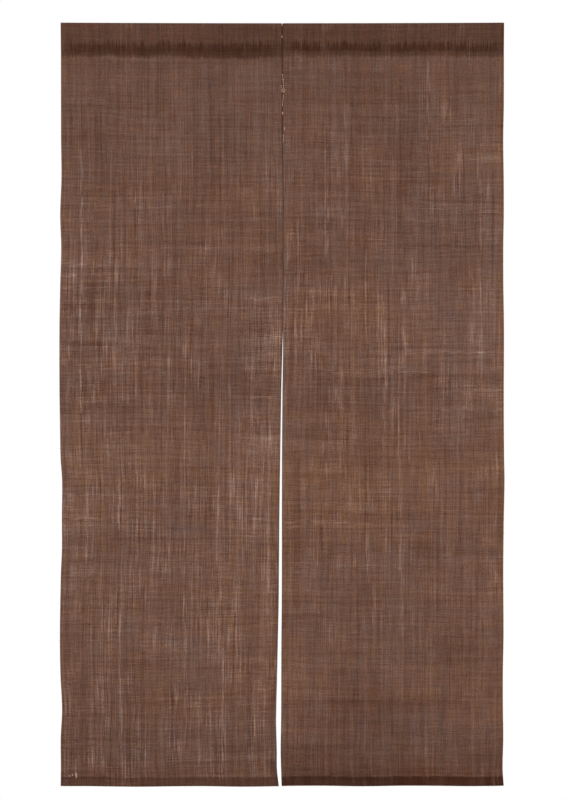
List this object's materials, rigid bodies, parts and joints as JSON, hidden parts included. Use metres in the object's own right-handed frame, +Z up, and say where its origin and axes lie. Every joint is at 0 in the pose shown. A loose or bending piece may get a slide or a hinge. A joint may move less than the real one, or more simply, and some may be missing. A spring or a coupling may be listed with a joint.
{
  "type": "noren curtain",
  "caption": "Sheer brown hemp noren door curtain: loom-width panels seamed at the top and open as a slit below, with a rod casing along the top edge and a narrow hem.",
  "frame": {"origin": "on the rod's line: the middle of the casing's sleeve, at the seam between the panels", "axes": "+X to the right as seen from the front, the front faces -Y, +Z up along the cloth's drop"},
  "size_m": [0.875, 0.0152, 1.5012],
  "materials": {
    "left_cloth": "matt open plain weave of slubby brown hemp",
    "right_cloth": "matt open plain weave of slubby brown hemp"
  },
  "bodies": {
    "root": {"panel_left": "left_cloth", "panel_right": "right_cloth"}
  },
  "joints": []
}
